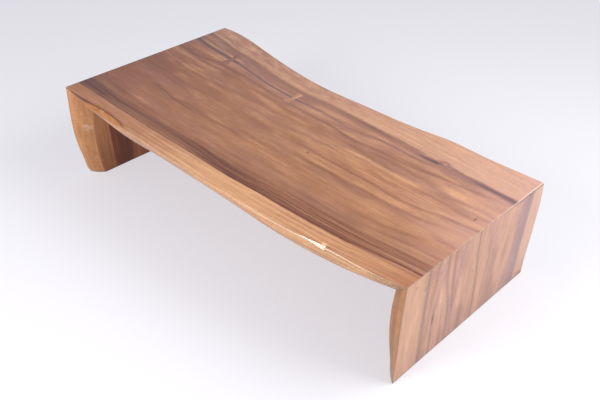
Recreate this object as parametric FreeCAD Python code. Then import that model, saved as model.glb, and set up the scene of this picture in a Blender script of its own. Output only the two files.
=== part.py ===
# A waterfall coffee table with live edges. One thick plank is cut twice and folded
# at two mitres, so it makes the top and both legs. Two butterfly keys hold a filled
# crack in the top, and loose tenons inside the mitres hold the boards together.
# X runs along the table, Y from its near edge to its far edge and Z up. The origin
# is on the floor, under the middle of the table's box. All sizes are in millimetres.
import FreeCAD
import Part
import math
import os

# Overall sizes
LENGTH = 1500.0
HEIGHT = 400.0
WIDTH = 820.0
THICKNESS = 45.0

# Eased arrises of the plank and of its feet
EASE = 1.5
FOOT_EASE = 2.0

# Butterfly keys, let into the top across the crack
KEY_LENGTH = 80.0
KEY_END_WIDTH = 30.0
KEY_WAIST_WIDTH = 13.0
KEY_DEPTH = 15.0
KEY_CLEARANCE = 0.1

# Crack in the top, filled flush
CRACK_DEPTH = 28.0
CRACK_WIDTH = 6.0
CRACK_TIP_WIDTH = 1.0

# Loose tenons, square to the mitres
MITRE_DEGREES = 45.0
TENON_COUNT = 5
TENON_LENGTH = 50.0
TENON_WIDTH = 24.0
TENON_THICKNESS = 10.0
TENON_INSET = 20.0
TENON_CLEARANCE = 0.1
MORTISE_SPARE = 1.0

# Felt pads, let into the feet and standing a little proud
PAD_DIAMETER = 32.0
PAD_THICKNESS = 3.0
PAD_RECESS = 2.0
PAD_CLEARANCE = 0.25
PAD_INSET = 60.0

# Scoop sanded out of the near edge, close to the left end
SCOOP_RADIUS = 1000.0
SCOOP_REACH = 17.0
SCOOP_DROP = 10.0

# Flat sanded on the near edge, close to the right end
FLAT_LENGTH = 93.0
FLAT_REACH = 7.0
FLAT_DROP = 10.0

# How far a cutting shape runs past what it cuts
OVERRUN = 20.0

# The unfolded plank is followed from the left foot (0) over the left mitre (1) and
# the right mitre (2) to the right foot (3). Each row of a live edge holds that place,
# the edge of the outer face as a share of the width, and, as shares of the thickness,
# how far the inner face stands back from it and how far the edge swells in between.
NEAR_EDGE_SHARES = (
    (0.00, -0.424, 0.93, 0.14),
    (0.05, -0.439, 1.02, 0.14),
    (0.16, -0.451, 1.11, 0.16),
    (0.28, -0.465, 1.24, 0.18),
    (0.53, -0.485, 1.44, 0.22),
    (0.78, -0.489, 1.62, 0.26),
    (1.00, -0.489, 1.67, 0.28),
    (1.06, -0.496, 1.00, 0.30),
    (1.14, -0.496, 0.52, 0.26),
    (1.23, -0.494, 0.27, 0.22),
    (1.33, -0.495, 0.49, 0.16),
    (1.45, -0.489, 0.51, 0.13),
    (1.56, -0.481, 0.48, 0.14),
    (1.66, -0.471, 0.33, 0.18),
    (1.75, -0.454, 0.14, 0.22),
    (1.83, -0.431, 0.00, 0.22),
    (1.90, -0.417, 0.13, 0.18),
    (1.95, -0.402, 0.24, 0.13),
    (2.00, -0.381, 0.33, 0.07),
    (2.22, -0.383, 0.22, 0.07),
    (2.42, -0.380, 0.28, 0.07),
    (2.68, -0.373, 0.53, 0.07),
    (2.90, -0.371, 0.90, 0.07),
    (3.00, -0.368, 0.98, 0.07),
)
FAR_EDGE_SHARES = (
    (0.00, 0.412, 0.42, 0.09),
    (0.30, 0.420, 0.48, 0.10),
    (0.65, 0.431, 0.44, 0.12),
    (1.00, 0.437, 0.40, 0.10),
    (1.07, 0.445, 0.44, 0.10),
    (1.15, 0.425, 0.50, 0.12),
    (1.24, 0.397, 0.56, 0.14),
    (1.33, 0.378, 0.52, 0.12),
    (1.42, 0.371, 0.45, 0.10),
    (1.52, 0.386, 0.50, 0.12),
    (1.62, 0.402, 0.60, 0.14),
    (1.70, 0.421, 0.55, 0.12),
    (1.77, 0.445, 0.48, 0.10),
    (1.86, 0.450, 0.50, 0.10),
    (1.94, 0.463, 0.55, 0.08),
    (2.00, 0.473, 0.50, 0.05),
    (2.15, 0.487, 0.48, 0.05),
    (2.35, 0.495, 0.46, 0.05),
    (2.65, 0.496, 0.50, 0.05),
    (3.00, 0.500, 0.55, 0.05),
)
LEFT_FOOT_SHARE = 0
LEFT_MITRE_SHARE = 1
RIGHT_MITRE_SHARE = 2
RIGHT_FOOT_SHARE = 3

# Depths at which a live edge is drawn between its two eased arrises
DEPTH_SHARES = (0.25, 0.5, 0.75)

# Middle of the crack, as shares of the length and the width, with its width there
# as a share of the width at the mitre
CRACK_SHARES = (
    (-0.500, 0.263, 1.00),
    (-0.427, 0.245, 0.90),
    (-0.345, 0.237, 0.80),
    (-0.267, 0.221, 0.70),
    (-0.200, 0.203, 0.60),
    (-0.127, 0.196, 0.50),
)
CRACK_TIP_SHARES = (-0.050, 0.203)

# Middle of each key, as shares of the length and the width, and its turn in degrees
KEY_SHARES = {
    "butterfly_key_left": (-0.344, 0.237),
    "butterfly_key_right": (-0.099, 0.200),
}
KEY_TURN_DEGREES = {
    "butterfly_key_left": 3.0,
    "butterfly_key_right": -1.0,
}

# Places along the top of the scoop's middle and of the deep end of the flat
SCOOP_SHARE = -0.333
FLAT_SHARE = 0.326

X_AXIS = FreeCAD.Vector(1, 0, 0)
Y_AXIS = FreeCAD.Vector(0, 1, 0)
Z_AXIS = FreeCAD.Vector(0, 0, 1)


def edge_place(row, depth):
    """Place across the table of one row of a live edge, at a depth in the plank."""
    face, undercut, swell = row[1:]
    share = depth / THICKNESS
    bulge = swell * 4 * share * (1 - share)
    inward = THICKNESS * (undercut * share - bulge)
    return face * WIDTH - math.copysign(1.0, face) * inward


def levels():
    """Depths of the outlines that a board is lofted through."""
    between = [share * THICKNESS for share in DEPTH_SHARES]
    return [0.0, EASE] + between + [THICKNESS - EASE, THICKNESS]


def eased(depth):
    """How far the arris of either face draws an edge in, at a depth."""
    return max(EASE - depth, EASE - (THICKNESS - depth), 0.0)


def mitre_end(depth):
    """How far a board ends short of the folded corner, with the eased arris."""
    return depth + (2 * EASE if depth < EASE else 0.0)


def board_curve(rows, first, depth, point_at):
    """Smooth live edge of one board at one depth, from its first end to its last."""
    points = []
    for row in rows:
        if first <= row[0] <= first + 1:
            side = math.copysign(1.0, row[1])
            across = edge_place(row, depth) - side * eased(depth)
            points.append(point_at(row[0] - first, across))
    curve = Part.BSplineCurve()
    curve.interpolate(points)
    return curve.toShape()


def strips(curves):
    """Ruled faces of a live edge, from each of its curves to the next."""
    return [Part.makeRuledSurface(one, other) for one, other in zip(curves, curves[1:])]


def end_faces(near, far, end):
    """Flat faces that close one end of a board: two eased strips and the cut between."""
    near_points = [curve.Vertexes[end].Point for curve in near]
    far_points = [curve.Vertexes[end].Point for curve in far]
    faces = []
    for start, stop in ((0, 2), (1, -1), (-2, None)):
        corners = near_points[start:stop] + far_points[start:stop][::-1]
        faces.append(Part.Face(Part.makePolygon(corners + corners[:1])))
    return faces


def board(first, point_at):
    """Board between two folds, closed from the outlines of its live edges."""
    near = []
    far = []
    for depth in levels():
        def place(share, across):
            return point_at(share, across, depth)
        near.append(board_curve(NEAR_EDGE_SHARES, first, depth, place))
        far.append(board_curve(FAR_EDGE_SHARES, first, depth, place))
    faces = strips(near) + strips(far)
    for side in (0, -1):
        start_line = Part.makeLine(far[side].Vertexes[0].Point, near[side].Vertexes[0].Point)
        end_line = Part.makeLine(near[side].Vertexes[-1].Point, far[side].Vertexes[-1].Point)
        faces.append(Part.Face(Part.Wire([near[side], end_line, far[side], start_line])))
    faces += end_faces(near, far, 0) + end_faces(near, far, -1)
    shell = Part.Shell(faces)
    shell.sewShape()
    solid = Part.Solid(shell)
    if solid.Volume < 0:
        solid.reverse()
    return solid.removeSplitter()


def top_point(share, across, depth):
    """Point of the top: the share runs from the left mitre to the right one."""
    half = LENGTH / 2 - mitre_end(depth)
    return FreeCAD.Vector(half * (2 * share - 1), across, HEIGHT - depth)


def leg_height(share_up, depth):
    """Height of a point of a leg, by its share of the way up to the mitre."""
    foot = PAD_THICKNESS - PAD_RECESS + FOOT_EASE * eased(depth) / EASE
    return foot + share_up * (HEIGHT - mitre_end(depth) - foot)


def left_leg_point(share, across, depth):
    """Point of the left leg: the share runs up from the foot to the mitre."""
    return FreeCAD.Vector(depth - LENGTH / 2, across, leg_height(share, depth))


def right_leg_point(share, across, depth):
    """Point of the right leg: the share runs down from the mitre to the foot."""
    return FreeCAD.Vector(LENGTH / 2 - depth, across, leg_height(1 - share, depth))


def near_arris(share):
    """Place across the table of the top's near arris, at a share of the length."""
    place = LEFT_MITRE_SHARE + share + 0.5
    rows = [row for row in NEAR_EDGE_SHARES
            if LEFT_MITRE_SHARE <= row[0] <= RIGHT_MITRE_SHARE]
    for before, after in zip(rows, rows[1:]):
        if before[0] <= place <= after[0]:
            part = (place - before[0]) / (after[0] - before[0])
            return WIDTH * (before[1] + part * (after[1] - before[1]))


def scoop():
    """Drum that sands a long shallow scoop out of the near arris."""
    across = FreeCAD.Vector(0, -SCOOP_REACH, -SCOOP_DROP).normalize()
    outward = across.cross(X_AXIS)
    depth = SCOOP_REACH * outward.dot(FreeCAD.Vector(0, -1, 0))
    arris = FreeCAD.Vector(SCOOP_SHARE * LENGTH, near_arris(SCOOP_SHARE), HEIGHT)
    middle = arris + outward * (SCOOP_RADIUS - depth)
    half = SCOOP_REACH + OVERRUN
    return Part.makeCylinder(SCOOP_RADIUS, 2 * half, middle - across * half, across)


def sanded_flat():
    """Wedge that leaves a tapering flat along the near arris, with a short end."""
    end = FLAT_SHARE * LENGTH
    start = end - FLAT_LENGTH
    arris = near_arris(FLAT_SHARE)
    tip = FreeCAD.Vector(start, near_arris(start / LENGTH) + EASE, HEIGHT)
    inner = FreeCAD.Vector(end, arris + FLAT_REACH, HEIGHT)
    lower = FreeCAD.Vector(end, arris - EASE, HEIGHT - FLAT_DROP)
    plane_normal = (inner - tip).cross(lower - tip).normalize()
    if plane_normal.z < 0:
        plane_normal = plane_normal * -1
    base = Part.makePolygon([tip, inner, lower, tip])
    return Part.Face(base).extrude(plane_normal * OVERRUN)


def key_outline(grow):
    """Outline of a butterfly key about its middle, larger all round by grow."""
    half_length = KEY_LENGTH / 2 + grow
    half_end = KEY_END_WIDTH / 2 + grow
    half_waist = KEY_WAIST_WIDTH / 2 + grow
    corners = [
        (-half_end, -half_length), (half_end, -half_length), (half_waist, 0),
        (half_end, half_length), (-half_end, half_length), (-half_waist, 0),
    ]
    points = [FreeCAD.Vector(x, y, 0) for x, y in corners]
    return Part.Face(Part.makePolygon(points + points[:1]))


def key_at(name, outline, depth, height):
    """Solid on the outline of a key, in the key's place, from its depth upwards."""
    solid = outline.extrude(Z_AXIS * height)
    along, across = KEY_SHARES[name]
    solid.rotate(FreeCAD.Vector(0, 0, 0), Z_AXIS, KEY_TURN_DEGREES[name])
    solid.translate(FreeCAD.Vector(along * LENGTH, across * WIDTH, HEIGHT - depth))
    return solid


def key(name):
    """Butterfly key, flush with the top."""
    return key_at(name, key_outline(0.0), KEY_DEPTH, KEY_DEPTH)


def key_pocket(name):
    """Cutting shape of a key's pocket, with the clearance all round."""
    depth = KEY_DEPTH + KEY_CLEARANCE
    return key_at(name, key_outline(KEY_CLEARANCE), depth, depth + OVERRUN)


def crack_side(side):
    """One side of the crack, from past the left mitre to its tip."""
    points = []
    for along, across, share in CRACK_SHARES:
        half = share * CRACK_WIDTH / 2
        points.append(FreeCAD.Vector(along * LENGTH, across * WIDTH + side * half, HEIGHT))
    along, across = CRACK_TIP_SHARES
    half = CRACK_TIP_WIDTH / 2
    points.append(FreeCAD.Vector(along * LENGTH, across * WIDTH + side * half, HEIGHT))
    curve = Part.BSplineCurve()
    curve.interpolate(points)
    return curve.toShape()


def crack():
    """The opening of the crack, down to its floor."""
    near, far = crack_side(-1), crack_side(1)
    tip = Part.makeLine(near.Vertexes[-1].Point, far.Vertexes[-1].Point)
    mouth = Part.makeLine(far.Vertexes[0].Point, near.Vertexes[0].Point)
    face = Part.Face(Part.Wire([near, tip, far, mouth]))
    return face.extrude(Z_AXIS * -CRACK_DEPTH)


def stadium_bar(width, thickness, length):
    """Bar with half-round edges, thick along X, wide along Y and long along Z."""
    straight = width - thickness
    slab = Part.makeBox(thickness, straight, length)
    slab.translate(FreeCAD.Vector(-thickness / 2, -straight / 2, -length / 2))
    bar = slab
    for side in (-1, 1):
        foot = FreeCAD.Vector(0, side * straight / 2, -length / 2)
        bar = bar.fuse(Part.makeCylinder(thickness / 2, length, foot, Z_AXIS))
    return bar.removeSplitter()


def edge_at(rows, place, depth):
    """Place across the table of a live edge at a foot or a mitre, at a depth."""
    return [edge_place(row, depth) for row in rows if row[0] == place][0]


def tenon(side, number, grow, spare):
    """Loose tenon across a mitre, or its mortises when it grows by the clearance."""
    bar = stadium_bar(TENON_WIDTH + 2 * grow, TENON_THICKNESS + 2 * grow,
                      TENON_LENGTH + 2 * spare)
    bar.rotate(FreeCAD.Vector(0, 0, 0), Y_AXIS, -side * MITRE_DEGREES)
    rise = TENON_INSET * math.cos(math.radians(MITRE_DEGREES))
    mitre = LEFT_MITRE_SHARE if side < 0 else RIGHT_MITRE_SHARE
    near = edge_at(NEAR_EDGE_SHARES, mitre, THICKNESS - rise)
    far = edge_at(FAR_EDGE_SHARES, mitre, THICKNESS - rise)
    across = near + (number + 0.5) / TENON_COUNT * (far - near)
    bar.translate(FreeCAD.Vector(side * (LENGTH / 2 - THICKNESS + rise), across,
                                 HEIGHT - THICKNESS + rise))
    return bar


def foot_disc(side, rows, turn, radius, bottom):
    """Upright disc in a foot, set in from one live edge, up to the top of its pad."""
    foot = LEFT_FOOT_SHARE if side < 0 else RIGHT_FOOT_SHARE
    across = edge_at(rows, foot, THICKNESS / 2) + turn * PAD_INSET
    middle = FreeCAD.Vector(side * (LENGTH - THICKNESS) / 2, across, bottom)
    return Part.makeCylinder(radius, PAD_THICKNESS - bottom, middle, Z_AXIS)


def foot_pad(side, rows, turn):
    """Felt pad let into a foot."""
    return foot_disc(side, rows, turn, PAD_DIAMETER / 2, 0)


def pad_recess(side, rows, turn):
    """Cutting shape of a pad's recess, with the clearance all round."""
    return foot_disc(side, rows, turn, PAD_DIAMETER / 2 + PAD_CLEARANCE, -OVERRUN)


def joined_mitre(top, leg, side, corner):
    """The top, a leg and the loose tenons between them, with their mortises cut."""
    tenons = {}
    for number in range(TENON_COUNT):
        mortise = tenon(side, number, TENON_CLEARANCE, MORTISE_SPARE)
        top = top.cut(mortise)
        leg = leg.cut(mortise)
        tenons["%s_mitre_tenon_%d" % (corner, number + 1)] = tenon(side, number, 0, 0)
    return top, leg, tenons


def footed_leg(leg, side, corner):
    """A leg with its two recesses, and the felt pads in them."""
    pads = {}
    for name, rows, turn in (("near", NEAR_EDGE_SHARES, 1), ("far", FAR_EDGE_SHARES, -1)):
        leg = leg.cut(pad_recess(side, rows, turn))
        pads["%s_foot_pad_%s" % (corner, name)] = foot_pad(side, rows, turn)
    return leg, pads


def build():
    """All the pieces of the table, by name."""
    pieces = {}
    top = board(LEFT_MITRE_SHARE, top_point).cut(scoop()).cut(sanded_flat())
    fill = crack().common(top)
    top = top.cut(crack())
    for name in KEY_SHARES:
        fill = fill.cut(key_pocket(name))
        top = top.cut(key_pocket(name))
        pieces[name] = key(name)
    pieces["crack_fill"] = fill
    legs = (
        (-1, "left", LEFT_FOOT_SHARE, left_leg_point),
        (1, "right", RIGHT_MITRE_SHARE, right_leg_point),
    )
    for side, corner, first, point_at in legs:
        leg = board(first, point_at)
        top, leg, tenons = joined_mitre(top, leg, side, corner)
        leg, pads = footed_leg(leg, side, corner)
        pieces.update(tenons)
        pieces.update(pads)
        pieces[corner + "_leg_board"] = leg
    pieces["top_board"] = top
    return pieces


os.makedirs("parts", exist_ok=True)
for name, shape in sorted(build().items()):
    shape.exportStep("parts/%s.step" % name)
    box = shape.BoundBox
    print(name, len(shape.Solids), shape.isValid(), round(shape.Volume / 1000, 2),
          [round(value, 2) for value in (box.XMin, box.YMin, box.ZMin,
                                         box.XMax, box.YMax, box.ZMax)])
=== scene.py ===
import bpy
from mathutils import Matrix, Vector


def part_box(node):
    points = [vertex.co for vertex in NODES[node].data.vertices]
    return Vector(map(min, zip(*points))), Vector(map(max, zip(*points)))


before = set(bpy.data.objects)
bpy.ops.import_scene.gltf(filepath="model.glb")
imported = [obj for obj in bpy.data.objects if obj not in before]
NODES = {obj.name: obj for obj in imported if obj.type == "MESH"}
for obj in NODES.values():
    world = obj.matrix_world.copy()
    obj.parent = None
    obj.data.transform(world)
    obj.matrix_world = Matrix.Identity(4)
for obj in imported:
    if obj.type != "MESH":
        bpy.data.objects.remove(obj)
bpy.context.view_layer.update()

MM = 0.001

# Sizes read from the frame
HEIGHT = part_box("top_board")[1].z
LEG_LOW, LEG_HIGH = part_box("right_leg_board")
HALF_LENGTH = LEG_HIGH.x
THICKNESS = LEG_HIGH.x - LEG_LOW.x


def rgb(red, green, blue):
    """Display colour from 0 to 255, as the linear colour that nodes take (sRGB's formula)."""
    def linear(value):
        share = value / 255
        return share / 12.92 if share <= 0.04045 else ((share + 0.055) / 1.055) ** 2.4
    return (linear(red), linear(green), linear(blue), 1.0)


# Colours of the heartwood: cool at the left end, warm at the right one, rose on the far side. The
# darker left end is partly painted shade
HEART_COOL_SHADED = rgb(134, 80, 57)
HEART_WARM_LIT = rgb(182, 131, 94)
# Rose of the far side and pink of the right end: partly a painted sheen
ROSE_COOL_SHADED = rgb(138, 91, 80)
ROSE_WARM_LIT = rgb(190, 142, 119)
HEART_PINK_SHEEN = rgb(182, 140, 132)
HEART_PALE = rgb(212, 160, 116)
DARK_COOL_SHADED = rgb(72, 38, 34)
DARK_WARM_LIT = rgb(106, 52, 32)
INK = rgb(66, 52, 68)

# Colours of the sapwood, of the live edges and of the worn arrises, which also carry a painted
# highlight
SAP_DEEP = rgb(156, 100, 70)
SAP_PALE = rgb(212, 163, 121)
SAP_FAR_DEEP = rgb(162, 114, 94)
SAP_FAR_PALE = rgb(206, 159, 128)
# Pink of the far sapwood at the right end: partly a painted sheen
SAP_PINK_SHEEN = rgb(196, 152, 138)
EDGE_DEEP = rgb(156, 106, 76)
EDGE_GOLD = rgb(222, 174, 132)
CORNER_BROWN = rgb(128, 86, 58)
# Lilac of the top's lower live edge: a painted reflection of the floor
EDGE_FLOOR_REFLECTION = rgb(166, 130, 114)
BURL = rgb(222, 184, 130)
AMBER = rgb(182, 114, 60)
AMBER_PALE = rgb(204, 152, 100)
AMBER_DEEP = rgb(98, 52, 32)
WORN_AND_HIGHLIGHT_PALE = rgb(236, 208, 184)
# Pale arris of the mitres, a painted highlight that is also the colour of the pale fill, and the
# painted glint along the right one
MITRE_HIGHLIGHT_AND_FILL = rgb(206, 190, 180)
MITRE_GLINT = rgb(234, 222, 214)

# Colours of the legs
LEG_ROSE = rgb(196, 147, 129)
LEG_TAN = rgb(202, 154, 124)
LEG_PALE = rgb(230, 178, 144)
LEG_DARK = rgb(112, 70, 60)
LEG_INK = rgb(122, 108, 124)
LEFT_DEEP = rgb(126, 62, 32)
LEFT_WARM = rgb(142, 77, 40)
LEFT_DARK = rgb(74, 36, 24)
LEFT_PALE = rgb(176, 112, 76)

# Pairs of colours, the deeper one first: the legs' sapwood and live edges, the small pieces
RIGHT_SAP_NEAR = rgb(180, 130, 100), rgb(218, 170, 134)
RIGHT_SAP_FAR = rgb(194, 148, 128), rgb(220, 178, 152)
RIGHT_EDGE = rgb(134, 86, 54), rgb(204, 152, 108)
LEFT_SAP = rgb(154, 96, 60), rgb(206, 146, 98)
LEFT_EDGE = rgb(150, 96, 58), rgb(208, 150, 102)
DARK_KEY = rgb(112, 70, 58), rgb(150, 102, 82)
PALE_KEY = rgb(156, 108, 84), rgb(184, 134, 106)
TENON = rgb(176, 136, 96), rgb(214, 180, 140)
FILL = rgb(66, 48, 50), rgb(118, 88, 78)
FELT = rgb(62, 56, 52), rgb(104, 96, 90)
FLOOR = rgb(243, 242, 248)


class Graph:
    """A node tree with short calls that add its nodes and link them."""

    def __init__(self, tree):
        self.tree = tree

    def add(self, kind, feeds=None, **settings):
        """A new node, with its settings made and its sockets fed."""
        node = self.tree.nodes.new(kind)
        for name, value in settings.items():
            setattr(node, name, value)
        self.feed(node, feeds or {})
        return node

    def feed(self, node, feeds):
        """Links each named input of a node to a socket, or sets it to a plain value."""
        for name, value in feeds.items():
            if isinstance(value, bpy.types.NodeSocket):
                self.tree.links.new(value, node.inputs[name])
            else:
                node.inputs[name].default_value = value

    def math(self, operation, *values, clamp=False):
        return self.add("ShaderNodeMath", dict(enumerate(values)),
                        operation=operation, use_clamp=clamp).outputs[0]

    def plus(self, first, second, clamp=False):
        return self.math("ADD", first, second, clamp=clamp)

    def minus(self, first, second):
        return self.math("SUBTRACT", first, second)

    def scaled(self, value, factor, base, clamp=False):
        """A value times a factor, plus a base."""
        return self.math("MULTIPLY_ADD", value, factor, base, clamp=clamp)

    def times(self, first, *others, clamp=False):
        """Product of several values."""
        for other in others:
            first = self.math("MULTIPLY", first, other, clamp=clamp)
        return first

    def mix(self, share, first, second):
        """Colour between two colours."""
        node = self.add("ShaderNodeMix", {0: share, 6: first, 7: second}, data_type="RGBA")
        return node.outputs[2]

    def blend(self, share, first, second):
        """Vector between two vectors."""
        node = self.add("ShaderNodeMix", {0: share, 4: first, 5: second}, data_type="VECTOR")
        return node.outputs[1]

    def ramp(self, value, low, high, to_low=0.0, to_high=1.0, smooth=True):
        """A value that goes from to_low to to_high while another one goes from low to high."""
        node = self.add("ShaderNodeMapRange", {0: value, 1: low, 2: high, 3: to_low, 4: to_high})
        node.interpolation_type = "SMOOTHSTEP" if smooth else "LINEAR"
        return node.outputs[0]

    def between(self, value, low, rise, fall, high, top=1.0):
        """A value that rises from low to rise, is top up to fall, and is 0 past high."""
        return self.times(self.ramp(value, low, rise), self.ramp(value, fall, high, top, 0.0))

    def stretch(self, vector, scales):
        """A vector with each coordinate times its own scale."""
        return self.add("ShaderNodeVectorMath", {0: vector, 1: scales},
                        operation="MULTIPLY").outputs[0]

    def vector(self, x, y, z):
        return self.add("ShaderNodeCombineXYZ", {0: x, 1: y, 2: z}).outputs[0]

    def noise(self, vector, detail=4.0, roughness=0.55, distortion=0.0):
        feeds = {"Vector": vector, "Scale": 1.0, "Detail": detail, "Roughness": roughness,
                 "Distortion": distortion}
        return self.add("ShaderNodeTexNoise", feeds).outputs[0]

    def curve(self, value, points):
        """A curve through points whose two numbers both run from 0 to 1."""
        node = self.add("ShaderNodeFloatCurve", {1: value})
        line = node.mapping.curves[0]
        while len(line.points) < len(points):
            line.points.new(0.5, 0.5)
        for point, place in zip(line.points, points):
            point.location = place
        node.mapping.update()
        return node.outputs[0]


# Range of places across the boards that the curves of the figure cover, in millimetres
ACROSS_LOW, ACROSS_HIGH = -450.0, 450.0
ACROSS_WIDTH = ACROSS_HIGH - ACROSS_LOW

# Streaks: how fast they fade to their sides, and how long their ends are, in millimetres
SIDE_FALL = -0.7
STREAK_FADE = 70.0

# How far the noises push the figure sideways, and the usual width of the heartwood
WOBBLE = 0.010
FEATHER = 0.006
HEART_WIDTH = 0.56

# Scale of the grain's noises in the depth of a board, as a share of the one across it
DEPTH_SHARE = 0.45


def streak_group():
    """Node group: mask of one streak of the wood's figure, along a curved middle line."""
    tree = bpy.data.node_groups.new("streak", "ShaderNodeTree")
    interface = tree.interface
    for name in ("Across", "Middle", "Half", "Along", "Start", "End", "Fade", "Strength"):
        interface.new_socket(name, in_out="INPUT", socket_type="NodeSocketFloat")
    interface.new_socket("Mask", in_out="OUTPUT", socket_type="NodeSocketFloat")
    g = Graph(tree)
    given = g.add("NodeGroupInput").outputs
    away = g.times(g.minus(given["Across"], given["Middle"]), ACROSS_WIDTH * MM)
    away = g.math("DIVIDE", away, given["Half"])
    bell = g.math("EXPONENT", g.times(away, away, SIDE_FALL))
    rise = g.ramp(given["Along"], given["Start"], g.plus(given["Start"], given["Fade"]))
    fall = g.ramp(given["Along"], g.minus(given["End"], given["Fade"]), given["End"], 1.0, 0.0)
    # In two pairs, because a row of products takes more room than Cycles has for a shader
    mask = g.times(g.times(bell, given["Strength"]), g.times(rise, fall))
    g.add("NodeGroupOutput", {"Mask": mask})
    return tree


STREAK = streak_group()


class Plank:
    """The coordinates of one board of the plank, and the lines of its figure.

    along runs from end to end of the unfolded plank, across from its near to its far edge,
    and depth down from its outer face. The tilt leans the figure with the depth.
    """

    def __init__(self, g, along, across, depth, span, near, far, tilt):
        self.g = g
        self.along, self.across, self.depth = along, across, depth
        self.low, self.high = span
        self.along_share = g.ramp(along, self.low * MM, self.high * MM, smooth=False)
        wobble = g.noise(self.places(5.0, 9.0, 3.0), 3.0)
        feather = g.noise(self.places(22.0, 60.0, 8.0), 2.0)
        shift = g.times(g.minus(wobble, 0.5), WOBBLE)
        shift = g.scaled(g.minus(feather, 0.5), FEATHER, shift)
        moved = g.plus(g.scaled(depth, -tilt, across), shift)
        self.across_share = g.ramp(moved, ACROSS_LOW * MM, ACROSS_HIGH * MM, smooth=False)
        near_line, far_line = self.line(near), self.line(far)
        past_near = g.minus(self.across_share, near_line)
        self.from_near = g.times(past_near, ACROSS_WIDTH * MM)
        self.from_far = g.times(g.minus(far_line, self.across_share), ACROSS_WIDTH * MM)
        lane = g.math("DIVIDE", past_near, g.minus(far_line, near_line))
        self.lane = g.times(lane, HEART_WIDTH)

    def places(self, along_scale, across_scale, last):
        """Places on the board, drawn out by scales, with a last coordinate for a noise."""
        return self.g.vector(self.g.times(self.along, along_scale),
                             self.g.times(self.across, across_scale), last)

    def line(self, points):
        """Places along the board with their place across it, as a smooth curve."""
        return self.share([(along, (across - ACROSS_LOW) / ACROSS_WIDTH)
                           for along, across in points])

    def share(self, points):
        """A share from 0 to 1 that changes along the board."""
        span = self.high - self.low
        return self.g.curve(self.along_share, [((along - self.low) / span, value)
                                               for along, value in points])

    def streak(self, points, half, strength):
        """Mask of a streak that follows points, fading out at both ends."""
        start, end = points[0][0], points[-1][0]
        feeds = {"Across": self.across_share, "Middle": self.line(points), "Half": half * MM,
                 "Along": self.along, "Start": start * MM, "End": end * MM,
                 "Fade": STREAK_FADE * MM, "Strength": strength}
        return self.g.add("ShaderNodeGroup", feeds, node_tree=STREAK).outputs[0]

    def streaks(self, rows):
        """Sum of the masks of several streaks: points, half width and strength of each."""
        total = 0.0
        for points, half, strength in rows:
            total = self.g.plus(total, self.streak(points, half, strength))
        return total

    def grain(self, along_scale, lane_scale, detail, roughness, seed):
        """Noise drawn out along the grain, from -1 to 1."""
        g = self.g
        vector = g.vector(g.scaled(self.along, along_scale, seed),
                          g.times(self.lane, lane_scale),
                          g.times(self.depth, lane_scale * DEPTH_SHARE))
        value = g.noise(vector, detail, roughness)
        return g.ramp(value, 0.25, 0.75, -1.0, 1.0, smooth=False)


# The top: span that its curves cover, and how its figure leans with the depth
TOP_SPAN = (-800, 800)
TOP_TILT = 0.5

# Borders of the heartwood on the top, from its left end to its right one
TOP_NEAR = ((-750, -349), (-580, -347), (-380, -344), (-160, -337), (0, -332), (190, -319),
            (300, -312), (490, -294), (560, -284), (640, -267), (750, -252))
TOP_FAR = ((-750, 290), (-690, 280), (-640, 274), (-590, 262), (-500, 256), (-400, 246),
           (-300, 226), (-200, 221), (-100, 225), (0, 233), (150, 235), (300, 238),
           (450, 236), (600, 236), (750, 240))

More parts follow.
